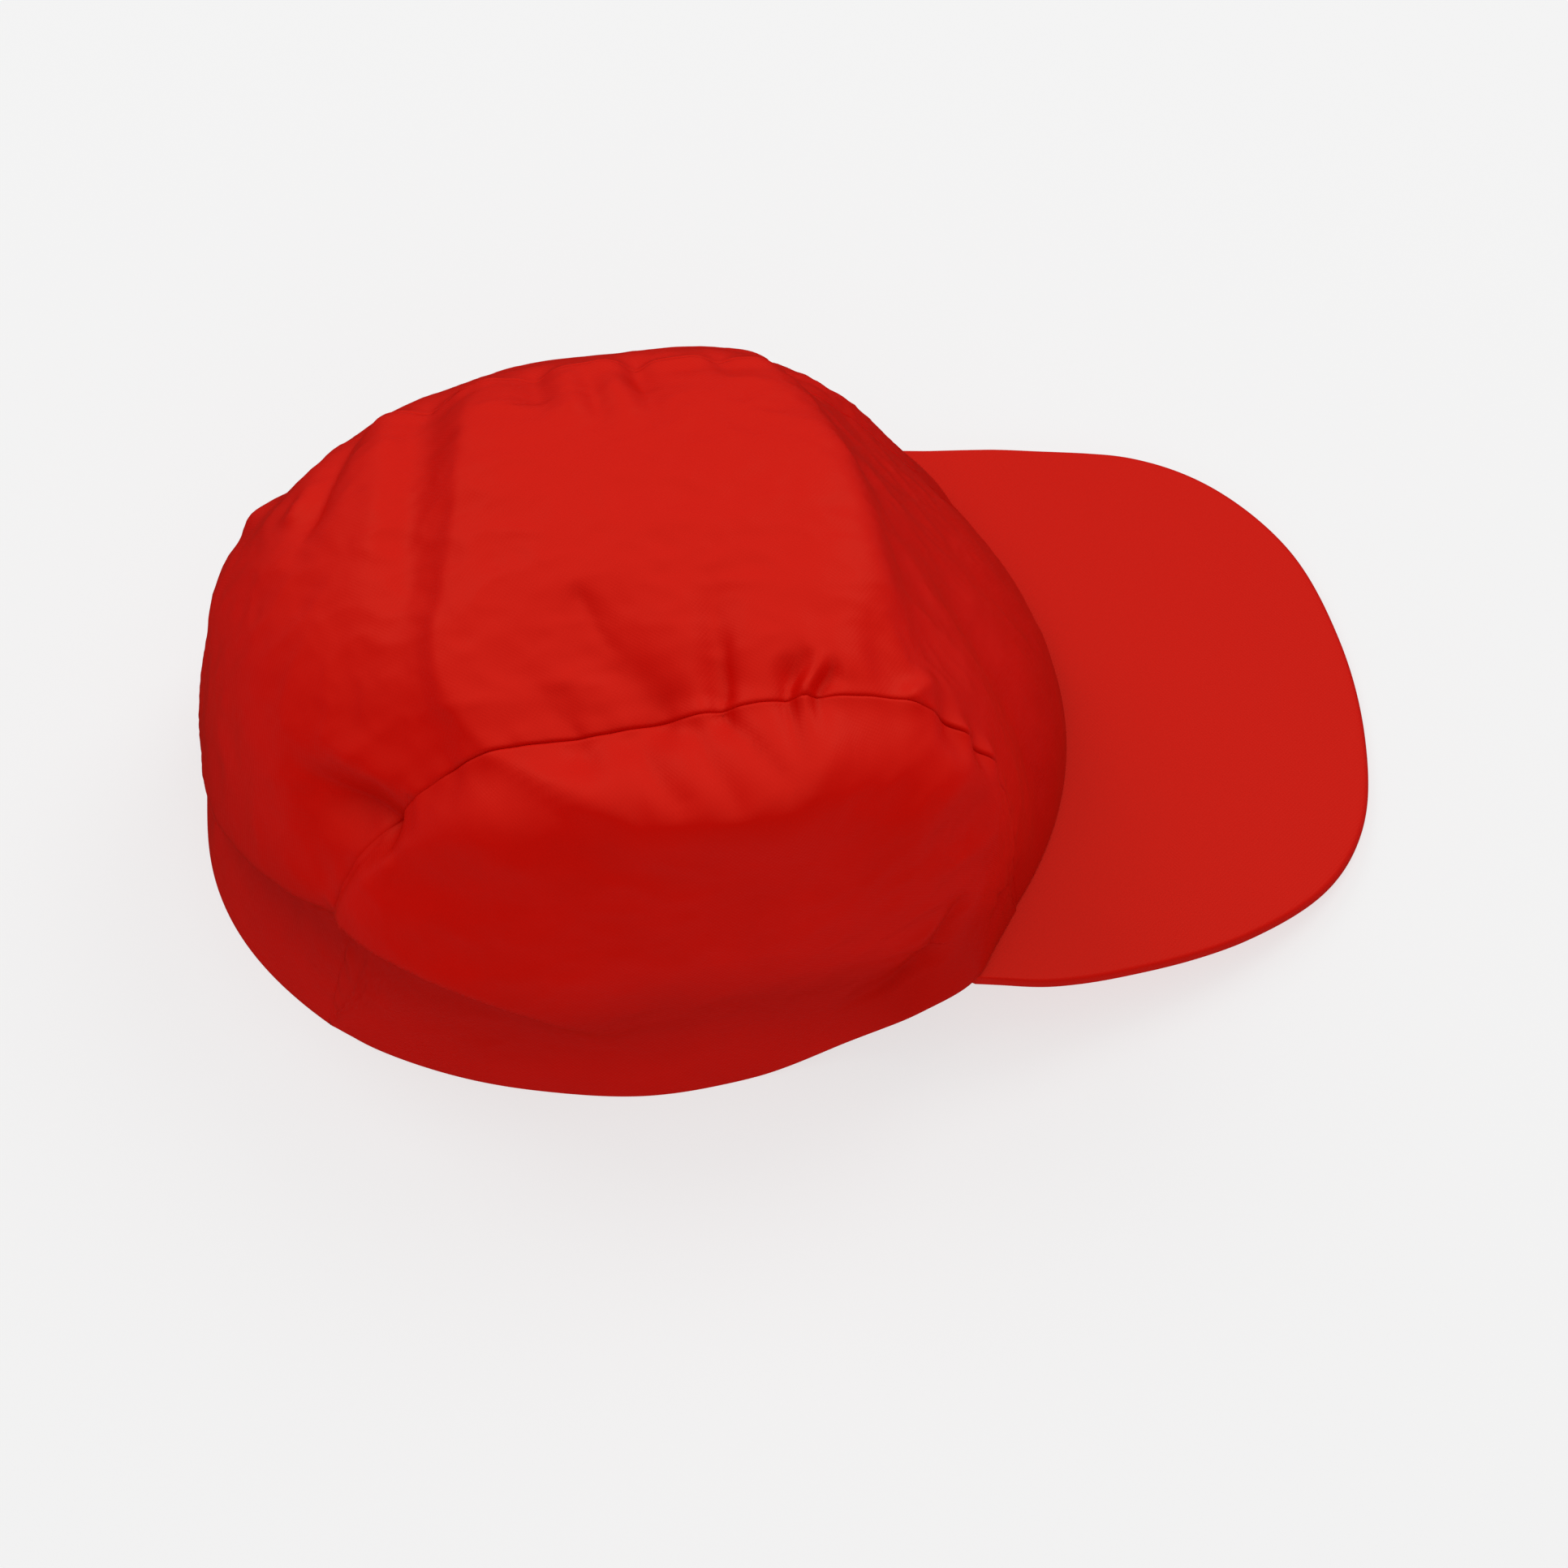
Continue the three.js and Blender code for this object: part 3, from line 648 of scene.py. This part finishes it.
def closed_wall(name, outer, inner, flat, flip=1):
    """A closed wall between two grids of points in mm, as an object with its flat places as a UV map."""
    rows, columns = outer.shape[:2]
    front = np.arange(rows * columns).reshape(rows, columns)
    back = front + rows * columns

    def quads(a, b, c, d):
        faces = np.stack([a, b, c, d], -1).reshape(-1, 4)
        return faces if flip > 0 else faces[:, ::-1]

    faces = np.vstack([
        quads(front[:-1, :-1], front[1:, :-1], front[1:, 1:], front[:-1, 1:]),
        quads(back[:-1, :-1], back[:-1, 1:], back[1:, 1:], back[1:, :-1]),
        quads(front[1:, 0], front[:-1, 0], back[:-1, 0], back[1:, 0]),
        quads(front[:-1, -1], front[1:, -1], back[1:, -1], back[:-1, -1]),
        quads(front[0, :-1], front[0, 1:], back[0, 1:], back[0, :-1]),
        quads(front[-1, 1:], front[-1, :-1], back[-1, :-1], back[-1, 1:]),
    ])
    points = np.concatenate([outer.reshape(-1, 3), inner.reshape(-1, 3)])
    points[:, 2] = PRESSED_FLAT * np.logaddexp(0, points[:, 2] / PRESSED_FLAT)
    points = (points + RIM_IN_MODEL) * MM
    mesh = bpy.data.meshes.new(name)
    mesh.from_pydata(points.tolist(), [], faces.tolist())
    places = np.concatenate([flat.reshape(-1, 2)] * 2) * MM
    uv = mesh.uv_layers.new(name="cut")
    uv.data.foreach_set("uv", places[faces.reshape(-1)].astype(np.float32).reshape(-1))
    mesh.polygons.foreach_set("use_smooth", [True] * len(faces))
    piece = bpy.data.objects.new(name, mesh)
    bpy.context.collection.objects.link(piece)
    return piece


def arc_from_edge(points, axis):
    """Distance along a grid's lines in mm, from their first point."""
    steps = np.linalg.norm(np.diff(points, axis=axis), axis=-1)
    start = np.zeros_like(np.take(steps, [0], axis))
    return np.concatenate([start, np.cumsum(steps, axis)], axis)


def edge_scale(surface, along, edge, step):
    """How many mm one unit of a panel's second coordinate has beside one of its edges."""
    at_edge = surface(along, np.full_like(along, edge))
    beside = surface(along, np.full_like(along, edge - step))
    return np.linalg.norm(at_edge - beside, axis=-1) / abs(step)


# The strip's grid, and the step across it by which its scale is read beside a seam
STRIP_ROWS = 290
STRIP_COLUMNS = 96
STRIP_EDGE_STEP = 0.03


def build_strip():
    """The strip: a grid from hem to hem and from seam to seam, finer at its edges."""
    start = (HEM_ROLL + np.array(HEM_STEPS)) / STRIP_LENGTH
    half = np.linspace(start[-1], 0.5, STRIP_ROWS // 2 + 1)[1:]
    shares = np.concatenate([start, half])
    along = np.concatenate([shares, 1 - shares[-2::-1]])
    lapped = np.where(edge_steps > 0, edge_steps, -SEAM_LAP)
    columns = []
    gaps = []
    for sign in SIDES.values():
        scale = edge_scale(centre_point, along, sign, sign * STRIP_EDGE_STEP)
        share = 1 - lapped[None, :] / scale[:, None]
        rest = share[:, -1:] * np.linspace(1, 0, STRIP_COLUMNS // 2 + 1)[None, 1:]
        columns.append(sign * np.concatenate([share, rest], 1))
        gap = np.concatenate([np.broadcast_to(edge_steps, share.shape), (1 - rest) * scale[:, None]], 1)
        gaps.append(gap)
    across = np.concatenate([columns[0], columns[1][:, -2::-1]], 1)
    from_seam = np.concatenate([gaps[0], gaps[1][:, -2::-1]], 1)
    middle = columns[0].shape[1]
    along = np.broadcast_to(along[:, None], across.shape)
    points = centre_point(along, across)
    normals = surface_normal(centre_point, along, across)
    length = arc_from_edge(points, 0)
    width = arc_from_edge(points, 1)
    flat = np.stack([length - length[len(along) // 2], width - width[:, middle - 1:middle]], -1)
    in_panel = np.maximum(from_seam, 0)
    own = press_folds(points, normals, CENTRE_FOLDS, centre_point)
    free = free_of_hem(along)
    edge = trimmed(from_seam, strip_to_hem(along), "strip")
    halves = []
    for side, part in (("right", np.s_[:, :middle]), ("left", np.s_[:, middle:])):
        seed = SLACK_SEED["strip"]
        sink = wrinkles(side, "strip", along[part], flat[part], in_panel[part], own[part], seed)
        turn = turned_to_seam(normals[part], side, along[part], in_panel[part])
        sunk = points[part] - turn * (sink * free[part])[..., None]
        halves.append(sewn_edge(sunk, turn, edge[part], draw_of(side, along[part])))
    points = np.concatenate(halves, 1)
    radius = np.full(points.shape[1], HEM_ROLL)
    points, flat = turn_hem(points, normals, flat, radius)
    points, flat = turn_hem(points[::-1], normals[::-1], flat[::-1], radius)
    points, flat = points[::-1], flat[::-1]
    return closed_wall("crown_strip", points, points - mesh_normals(points) * CLOTH, flat)


# A side panel's grid. It stops short of the corners, and its rows draw together where the panel is lower
# than SHORT_SIDE.
SIDE_ROWS = 240
SIDE_COLUMNS = 84
SIDE_EDGE_STEP = 0.02
SIDE_CORNER = 0.006
SHORT_SIDE = 30.0


def build_side(side):
    """A side panel: a grid from corner to corner and from hem to seam, finer at its edges."""
    flip = -SIDES[side]
    surface = side_points[side]
    along = np.linspace(SIDE_CORNER, 1 - SIDE_CORNER, SIDE_ROWS + 1)
    height = side_height(side, along)[:, None]
    room = np.minimum(1, height / SHORT_SIDE)
    tight = np.minimum(1, height / NARROW)
    low = edge_scale(surface, along, 0, -SIDE_EDGE_STEP)[:, None]
    high = edge_scale(surface, along, 1, SIDE_EDGE_STEP)[:, None]
    start = (HEM_ROLL * tight + np.array(HEM_STEPS)[None] * room) / low
    steps = edge_steps[None, ::-1]
    finish = 1 - np.maximum(steps, 0) * room / high
    between = np.linspace(0, 1, SIDE_COLUMNS + 1)[None, 1:-1]
    run = start[:, -1:] + (finish[:, :1] - start[:, -1:]) * between
    up = np.concatenate([start, run, finish], 1)
    along = np.broadcast_to(along[:, None], up.shape)
    points = surface(along, up)
    normals = surface_normal(surface, along, up, flip)
    above_hem = arc_from_edge(points, 1)
    length = arc_from_edge(points, 0)
    flat = np.stack([length - length[len(along) // 2], above_hem], -1)
    total = above_hem[:, -1:]
    below = above_hem[:, :start.shape[1] + run.shape[1]]
    from_seam = np.concatenate([total - below, steps * room], 1)
    in_panel = np.maximum(from_seam, 0)
    own = press_folds(points, normals, SIDE_FOLDS[side], surface)
    sink = wrinkles(side, "side", along, flat, in_panel, own, SLACK_SEED[side])
    near = fade(in_panel, SEAM_TURN)
    free = ramp(above_hem, *FREE_ABOVE_HEM["side"]) * room * (1 - near) + free_of_hem(along) * near
    turn = turned_to_seam(normals, side, along, in_panel)
    points = points - turn * (sink * free)[..., None]
    points = sewn_edge(points, turn, trimmed(from_seam, total, "side"), draw_of(side, along))
    from_hem = (np.swapaxes(grid, 0, 1) for grid in (points, normals, flat))
    points, flat = (np.swapaxes(grid, 0, 1) for grid in turn_hem(*from_hem, HEM_ROLL * tight[:, 0]))
    inner = points - mesh_normals(points, flip) * CLOTH * tight[..., None]
    return closed_wall(f"crown_side_{side}", points, inner, flat, flip)


# Plain-woven cotton poplin, dyed red in the piece and lightly pressed: matt threads that still give a soft,
# warm sheen where the cloth is smooth. They pass over and under each other, and some are thicker for a
# short way. Real threads are about 0.25 mm apart, and are drawn twice as coarse so that the weave shows.
# Sizes are in mm, THREAD_RELIEF is a share of the spacing, and SLUB_RELIEF one of the weave's own relief.
THREAD = 0.5
THREAD_RELIEF = 0.2
WEAVE_STRENGTH = 0.16
SLUB_WIDTH = 0.714
SLUB_LENGTH = 11.1
SLUB_RELIEF = 0.8
SPECULAR = 0.1
ROUGHNESS = 0.42

# Uneven dye in patches of this size in mm, and painted sheen: a lighter red where the cloth faces up
DYE_PATCH = 18.2
DYE_SPREAD = (0.3, 0.7)
PAINTED_SHEEN_FACING = (0.6, 1.0)

# Painted shade: a darker band of the slack cloth above the hem, just under the crest of its roll. It ends
# between two heights above, and for the most part between two heights below, and patches of some size move
# these edges up and down, all in mm.
PAINTED_SHADE_TOP = (44, 60)
PAINTED_SHADE_FOOT = (16, 34)
UNSHADED_AT_HEM = 0.7
RAGGED_PATCH = 33.3
RAGGED_HEIGHT = 20


def linear(hex_colour):
    """An sRGB colour as linear RGBA."""
    parts = [int(hex_colour[i:i + 2], 16) / 255 for i in (1, 3, 5)]
    return (*[p / 12.92 if p <= 0.04045 else ((p + 0.055) / 1.055) ** 2.4 for p in parts], 1)


def add(tree, kind, settings=None, **inputs):
    """Adds a node with its settings. Its inputs, by name or as i0, i1 and so on by number, are each filled
    with a value or with another node's output."""
    node = tree.nodes.new(kind)
    for name, value in (settings or {}).items():
        setattr(node, name, value)
    for name, value in inputs.items():
        key = int(name[1:]) if name[0] == "i" and name[1:].isdigit() else name.replace("_", " ")
        if isinstance(value, bpy.types.NodeSocket):
            tree.links.new(value, node.inputs[key])
        else:
            node.inputs[key].default_value = value
    return node


def cotton(name, colour, deep, painted_sheen, painted_shade=None):
    """Plain-woven dyed cotton with deeper patches, painted sheen where it faces up and, given a fourth
    colour, a band of painted shade.
    """
    material = bpy.data.materials.new(name)
    material.use_nodes = True
    tree = material.node_tree
    tree.nodes.clear()
    blend = {"data_type": "RGBA"}
    scaled_sum = {"operation": "MULTIPLY_ADD"}
    place = add(tree, "ShaderNodeUVMap", {"uv_map": "cut"}).outputs[0]
    lines = add(tree, "ShaderNodeMapping", Vector=place, Scale=[math.pi / (THREAD * MM)] * 3).outputs[0]
    split = add(tree, "ShaderNodeSeparateXYZ", Vector=lines)
    warp = add(tree, "ShaderNodeMath", {"operation": "SINE"}, i0=split.outputs[0]).outputs[0]
    weft = add(tree, "ShaderNodeMath", {"operation": "SINE"}, i0=split.outputs[1]).outputs[0]
    over = add(tree, "ShaderNodeMath", {"operation": "MULTIPLY"}, i0=warp, i1=weft).outputs[0]
    run = (1 / (SLUB_WIDTH * MM), 1 / (SLUB_LENGTH * MM), 1)
    slubs = add(tree, "ShaderNodeMapping", Vector=place, Scale=run).outputs[0]
    thick = add(tree, "ShaderNodeTexNoise", Vector=slubs, Scale=1, Detail=2).outputs[0]
    patches = 1 / (DYE_PATCH * MM)
    dye = add(tree, "ShaderNodeTexNoise", Vector=place, Scale=patches, Detail=3, Roughness=0.55).outputs[0]
    low, high = DYE_SPREAD
    shade = add(tree, "ShaderNodeMapRange", Value=dye, From_Min=low, From_Max=high).outputs[0]
    tint = add(tree, "ShaderNodeMix", blend, Factor=shade, i6=linear(deep), i7=linear(colour)).outputs[2]
    # Painted sheen: the red turns lighter and warmer as the cloth faces up, in place of the lamps' gloss
    facing = add(tree, "ShaderNodeNewGeometry").outputs["Normal"]
    facing = add(tree, "ShaderNodeSeparateXYZ", Vector=facing).outputs[2]
    low, high = PAINTED_SHEEN_FACING
    painted_sheen_share = add(tree, "ShaderNodeMapRange", Value=facing, From_Min=low, From_Max=high).outputs[0]
    tint = add(tree, "ShaderNodeMix", blend, Factor=painted_sheen_share, i6=tint, i7=linear(painted_sheen)).outputs[2]
    # Painted shade: a darker red over the band of cloth under the roll's crest, above the hem
    if painted_shade:
        body = add(tree, "ShaderNodeTexCoord").outputs["Object"]
        level = add(tree, "ShaderNodeSeparateXYZ", Vector=body).outputs[2]
        rags = 1 / (RAGGED_PATCH * MM)
        ragged = add(tree, "ShaderNodeTexNoise", Vector=body, Scale=rags, Detail=2).outputs[0]
        rise = RAGGED_HEIGHT * MM
        level = add(tree, "ShaderNodeMath", scaled_sum, i0=ragged, i1=rise, i2=level).outputs[0]
        low, high = (height * MM for height in PAINTED_SHADE_TOP)
        unshaded = add(tree, "ShaderNodeMapRange", Value=level, From_Min=low, From_Max=high).outputs[0]
        low, high = (height * MM for height in PAINTED_SHADE_FOOT)
        foot = add(tree, "ShaderNodeMapRange", Value=level, From_Min=high, From_Max=low, To_Max=UNSHADED_AT_HEM)
        unshaded = add(tree, "ShaderNodeMath", {"operation": "MAXIMUM"}, i0=unshaded, i1=foot.outputs[0]).outputs[0]
        tint = add(tree, "ShaderNodeMix", blend, Factor=unshaded, i6=linear(painted_shade), i7=tint).outputs[2]
    height = add(tree, "ShaderNodeMath", scaled_sum, i0=thick, i1=SLUB_RELIEF, i2=over)
    depth = THREAD * MM * THREAD_RELIEF
    relief = add(tree, "ShaderNodeBump", Strength=WEAVE_STRENGTH, Distance=depth, Height=height.outputs[0])
    shader = add(
        tree, "ShaderNodeBsdfPrincipled", Base_Color=tint, Normal=relief.outputs[0], Roughness=ROUGHNESS,
        Specular_IOR_Level=SPECULAR, Specular_Tint=linear("#FFE0B0"),
        Sheen_Weight=0.06, Sheen_Roughness=0.6, Sheen_Tint=linear("#FF7048"),
    )
    add(tree, "ShaderNodeOutputMaterial", Surface=shader.outputs[0])
    return material


strip = build_strip()
right_panel = build_side("right")
left_panel = build_side("left")
# The crown's last red is painted shade, for the band under the roll above the hem
# The crown's third red is a painted sheen, lighter, for the cloth that faces up
crown_red = {"colour": "#D30D05", "deep": "#CE0C04", "painted_sheen": "#D7261B", "painted_shade": "#C20A04"}
crown_cotton = cotton("crown cotton poplin", **crown_red)

for piece, node_name in (
    (strip, "crown_centre_panel"),
    (right_panel, "crown_side_panel_right"),
    (left_panel, "crown_side_panel_left"),
):
    piece.data.materials.append(crown_cotton)
    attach(piece, "root")
    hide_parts(node_name)


# Peak
# A stiff board cut to a broad oval, with the same cotton drawn smooth over both faces. The two covers are
# turned in along the edge and meet in a fine line round it, and the back edge runs in under the crown.
PEAK_BOARD = 3.0
PEAK_EDGE_ROUND = 1.2
PEAK_UNDERLAP = 4.0

# Stations across the strip's front hem that the peak's back edge keeps inside of
PEAK_JOIN = (-0.75, -0.5, -0.25, 0, 0.25, 0.5, 0.75)

# Outline in plan, from the right corner round the front to the left corner: x, y
PEAK_EDGE = [
    (67, -73),
    (85, -73.3),
    (104, -69),
    (131, -59),
    (152, -44.5),
    (163, -27),
    (167.6, -3),
    (166.5, 25),
    (158.5, 52),
    (142.5, 70),
    (124, 77.8),
    (98, 77.6),
    (67, 74.5),
]

# The board is arched a little across: its height in mm over the half width, the share of it by which the
# board lies lower, how far behind the tip the arch is full, and the x between which it starts at the crown
PEAK_ARCH = 1.6
ARCH_HALF_WIDTH = 78.0
ARCH_LOWERED = 0.7
ARCH_FROM_TIP = 60.0
ARCH_FROM_CROWN = (90.0, 115.0)

# The peak's grid, whose rounded edge runs out where the peak is shallower than PEAK_CORNER
PEAK_ROWS = 220
PEAK_COLUMNS = 60
PEAK_EDGE_ROWS = 7
PEAK_END = 0.004
PEAK_CORNER = 10.0

peak_edge = curve_through(PEAK_EDGE)


def peak_join():
    """Back edge of the peak, just inside the crown's front hem, from the right corner to the left one."""
    corner = [row for row in HEM if row[0] >= PEAK_EDGE[0][0]]
    front = [centre_point(np.array(1.0), np.array(across))[:2] for across in PEAK_JOIN]
    right_corner = [(x, -right) for x, right, left in corner]
    left_corner = [(x, left) for x, right, left in reversed(corner)]
    line = np.array([tuple(point) for point in right_corner + front + left_corner], float)
    reach = np.linalg.norm(line, axis=1, keepdims=True)
    return curve_through(line * (reach - PEAK_UNDERLAP) / reach)


def build_peak():
    """The covered board: a grid from the back edge to the outline, on both faces, with a rounded edge."""
    along = np.linspace(PEAK_END, 1 - PEAK_END, PEAK_ROWS + 1)
    inner_line = peak_join()(along)
    outer_line = peak_edge(along)
    depth = np.linalg.norm(outer_line - inner_line, axis=-1)[:, None]
    tight = np.minimum(1, depth / PEAK_CORNER)
    angles = np.linspace(0, math.pi / 2, PEAK_EDGE_ROWS)
    shares = 1 - (PEAK_EDGE_ROUND * (1 - np.sin(angles)))[None] * tight / depth
    run = shares[:, :1] * np.linspace(0, 1, PEAK_COLUMNS)[None, :-1]
    out = np.concatenate([run, shares], 1)
    drop = PEAK_EDGE_ROUND * (1 - np.cos(angles))
    sunk = np.concatenate([np.zeros(PEAK_COLUMNS - 1), drop])[None] * tight
    plan = inner_line[:, None] + (outer_line - inner_line)[:, None] * out[..., None]
    x, y = plan[..., 0], plan[..., 1]
    arch = PEAK_ARCH * (1 - (y / ARCH_HALF_WIDTH) ** 2) - PEAK_ARCH * ARCH_LOWERED
    arch = arch * ramp(PEAK_TIP_X - x, 0, ARCH_FROM_TIP) * ramp(x, *ARCH_FROM_CROWN)
    face = peak_top(x) + arch
    top = np.concatenate([plan, (face - sunk)[..., None]], -1)
    bottom = np.concatenate([plan, (face - PEAK_BOARD + sunk)[..., None]], -1)
    return closed_wall("peak_board", top, bottom, plan, -1)


peak = build_peak()
# The peak's third red is a painted sheen, lighter, for its up-facing face
peak_red = {"colour": "#D1130A", "deep": "#CD1209", "painted_sheen": "#D42016"}
peak.data.materials.append(cotton("peak cotton poplin", **peak_red))
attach(peak, "root")
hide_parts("peak")


# Table, light and camera
# A matt white table top that runs on past the view. It glows by itself, so that it stays nearly white
# under the cap's faint shadow. Daylight comes from all round, and four soft lamps give it a direction.
TABLE_WIDTH = 40
TABLE_PAINT = {
    "Base Color": linear("#7C7C7C"),
    "Roughness": 0.9,
    "Specular IOR Level": 0.1,
    "Emission Color": (1, 1, 1, 1),
    "Emission Strength": 0.717,
}
DAYLIGHT = 0.54

bpy.ops.object.select_all(action="DESELECT")
bpy.ops.mesh.primitive_plane_add(size=TABLE_WIDTH)
table = bpy.context.object
table.name = "table"
white = bpy.data.materials.new("white table top")
white.use_nodes = True
for socket, value in TABLE_PAINT.items():
    white.node_tree.nodes["Principled BSDF"].inputs[socket].default_value = value
table.data.materials.append(white)

world = bpy.data.worlds.new("daylight")
world.use_nodes = True
world.node_tree.nodes["Background"].inputs["Color"].default_value = (1, 1, 1, 1)
world.node_tree.nodes["Background"].inputs["Strength"].default_value = DAYLIGHT
bpy.context.scene.world = world

# Table and sky are kept out of the cloth's reflections, so that only the lamps give it a sheen
table.visible_glossy = False
world.cycles_visibility.glossy = False

# The lamps' places and widths in metres and their power in watts: overhead, on the far side ahead of the
# cap, on the far side behind it, and on the near side
LAMPS = [
    ((0.0, 0.0, 1.5), 1.0, 2.0),
    ((0.68, 0.68, 1.15), 0.8, 4.7),
    ((-0.75, 0.65, 1.15), 0.8, 3.8),
    ((0.0, -0.96, 1.15), 1.0, 2.2),
]
for place, width, power in LAMPS:
    bpy.ops.object.light_add(type="AREA", location=place)
    lamp = bpy.context.object
    lamp.data.shape = "DISK"
    lamp.data.size = width
    lamp.data.energy = power
    lamp.rotation_euler = (-Vector(place)).to_track_quat("-Z", "Y").to_euler()

# The camera looks down from the cap's right: angles in degrees, lens and sensor in mm, the rest in metres
CAMERA_ELEVATION = 55.0
CAMERA_AZIMUTH = -5.4
CAMERA_DISTANCE = 1.0
CAMERA_TARGET = Vector((-0.0014, -0.0010, 0))
CAMERA_LENS = 100
CAMERA_SENSOR = 36

elevation = math.radians(CAMERA_ELEVATION)
azimuth = math.radians(CAMERA_AZIMUTH)
back = Vector((
    math.sin(azimuth) * math.cos(elevation),
    -math.cos(azimuth) * math.cos(elevation),
    math.sin(elevation),
))
bpy.ops.object.camera_add(location=CAMERA_TARGET + back * CAMERA_DISTANCE)
camera = bpy.context.object
camera.rotation_euler = (-back).to_track_quat("-Z", "Y").to_euler()
camera.data.lens = CAMERA_LENS
camera.data.sensor_width = CAMERA_SENSOR
bpy.context.scene.camera = camera

# The picture shows the light as it is, with its middle tones a little deeper, as in the photograph
bpy.context.scene.view_settings.view_transform = "Standard"
bpy.context.scene.view_settings.gamma = 0.85
